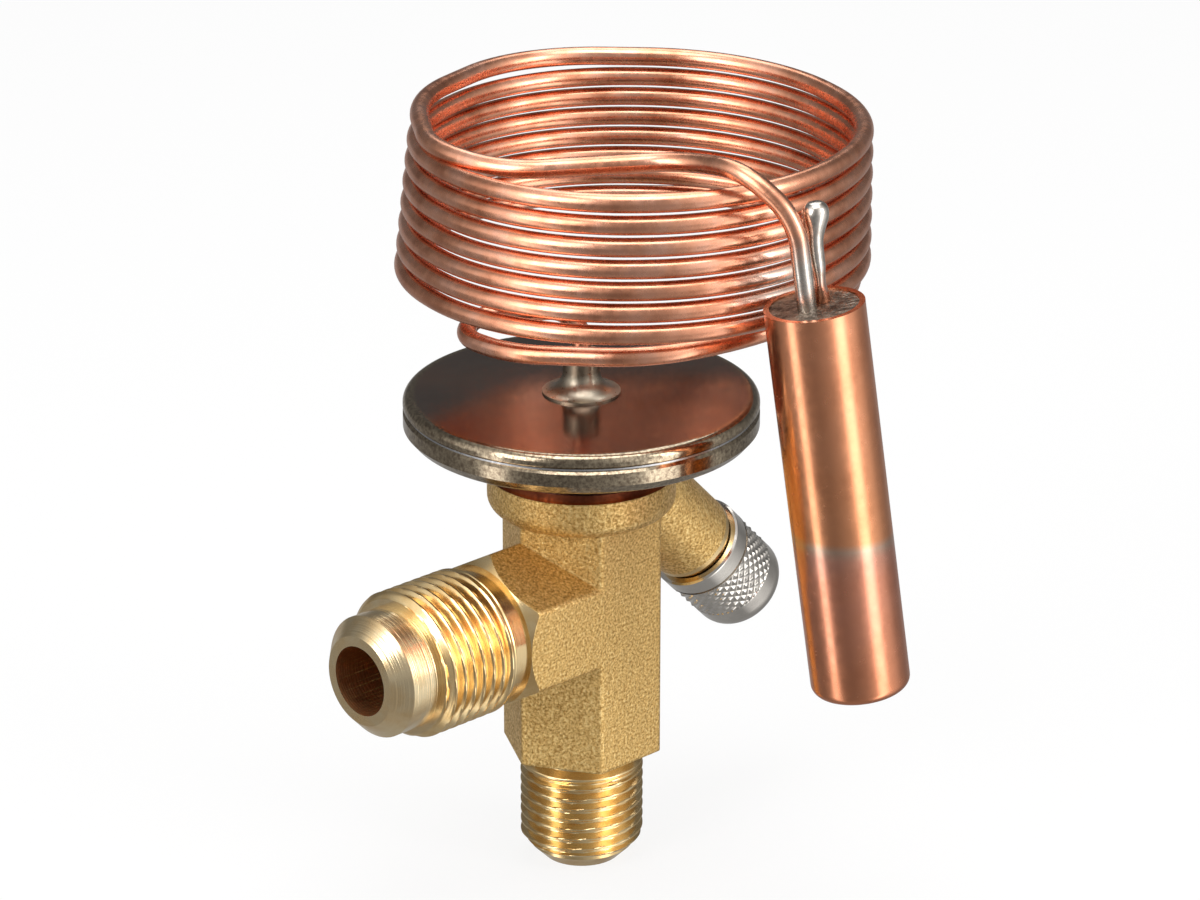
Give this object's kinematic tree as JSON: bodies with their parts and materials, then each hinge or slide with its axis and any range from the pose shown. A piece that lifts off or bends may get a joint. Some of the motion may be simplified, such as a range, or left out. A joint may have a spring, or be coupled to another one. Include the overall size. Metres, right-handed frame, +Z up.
{
  "type": "thermostatic expansion valve",
  "caption": "Brass angle expansion valve with flare fittings, a diaphragm head, a capped superheat spindle and a coiled copper capillary that ends in a sensing bulb.",
  "frame": {"origin": "centre of the inlet fitting's end face, at the bottom", "axes": "+Z up the body's axis towards the diaphragm head; -X out of the outlet fitting; the spindle's branch leans towards +X"},
  "size_m": [0.0797, 0.0778, 0.1004],
  "materials": {
    "body_brass": "forged and shot blasted, machined at the fittings",
    "inner_brass": "turned",
    "inner_steel": "ground",
    "spring_steel": "drawn wire and rolled sheet",
    "strainer_steel": "woven wire",
    "head_steel": "pressed stainless with weld colour",
    "joint_red": "brazed joint, oxidised red brown",
    "ferrule_steel": "turned",
    "copper": "drawn copper, slightly oxidised",
    "tinned_copper": "tinned copper",
    "solder": "dark rough solder",
    "seal_rubber": "moulded",
    "gasket_white": "cut PTFE",
    "cap_nickel": "nickel-plated and knurled"
  },
  "bodies": {
    "housing": {"valve_body": "body_brass", "orifice_body": "inner_brass", "spring_retainer": "inner_brass", "strainer_collar": "inner_brass", "strainer_mesh": "strainer_steel", "strainer_end": "strainer_steel", "joint_ring": "joint_red", "head_base": "head_steel", "head_cover": "head_steel", "diaphragm": "spring_steel", "capillary_ferrule": "ferrule_steel", "capillary_tube": "copper", "bulb": "copper", "bulb_plug": "solder", "fill_tube": "tinned_copper", "spindle_seal": "seal_rubber", "spindle_gland": "inner_brass", "superheat_spring": "spring_steel", "cone_spring": "spring_steel"},
    "pin_set": {"push_pin": "inner_steel", "pressure_pad": "inner_steel", "valve_cone": "inner_steel"},
    "spindle": {"setting_spindle": "inner_steel"},
    "wheel": {"crown_wheel": "inner_brass"},
    "seat": {"spring_seat": "inner_brass"},
    "gasket": {"cap_gasket": "gasket_white"},
    "cap": {"seal_cap": "cap_nickel"}
  },
  "joints": [
    {"name": "pin_travel", "type": "slide", "parent": "housing", "child": "pin_set", "axis": [0, 0, -1], "range_m": [0, 0.0007], "stiffness_N_per_m": 4000, "springref_m": -0.003, "deforming": ["superheat_spring", "cone_spring"]},
    {"name": "setting_turn", "type": "hinge", "parent": "housing", "child": "spindle", "pos_m": [0.0144, 0, 0.0436], "axis": [0.7071, 0, -0.7071], "range_deg": [-900.1, 900.1]},
    {"name": "wheel_turn", "type": "hinge", "parent": "housing", "child": "wheel", "pos_m": [0, 0, 0.0455], "axis": [0, 0, 1], "range_deg": [-342.8, 342.8]},
    {"name": "seat_slide", "type": "slide", "parent": "housing", "child": "seat", "axis": [0, 0, 1], "range_m": [-0.00096, 0.00096], "deforming": ["superheat_spring"]},
    {"name": "cap_lift", "type": "slide", "parent": "housing", "child": "gasket", "axis": [0.7071, 0, -0.7071], "range_m": [0, 0.009]},
    {"name": "cap_turn", "type": "hinge", "parent": "gasket", "child": "cap", "pos_m": [0.025, 0, 0.033], "axis": [0.7071, 0, -0.7071], "range_deg": [0, 3240]}
  ],
  "couplings": [
    {"joint": "setting_turn", "follows": "wheel_turn", "ratio": 2.625},
    {"joint": "seat_slide", "follows": "wheel_turn", "m_per_rad": -0.00015915},
    {"joint": "cap_lift", "follows": "cap_turn", "m_per_rad": 0.00015915}
  ]
}
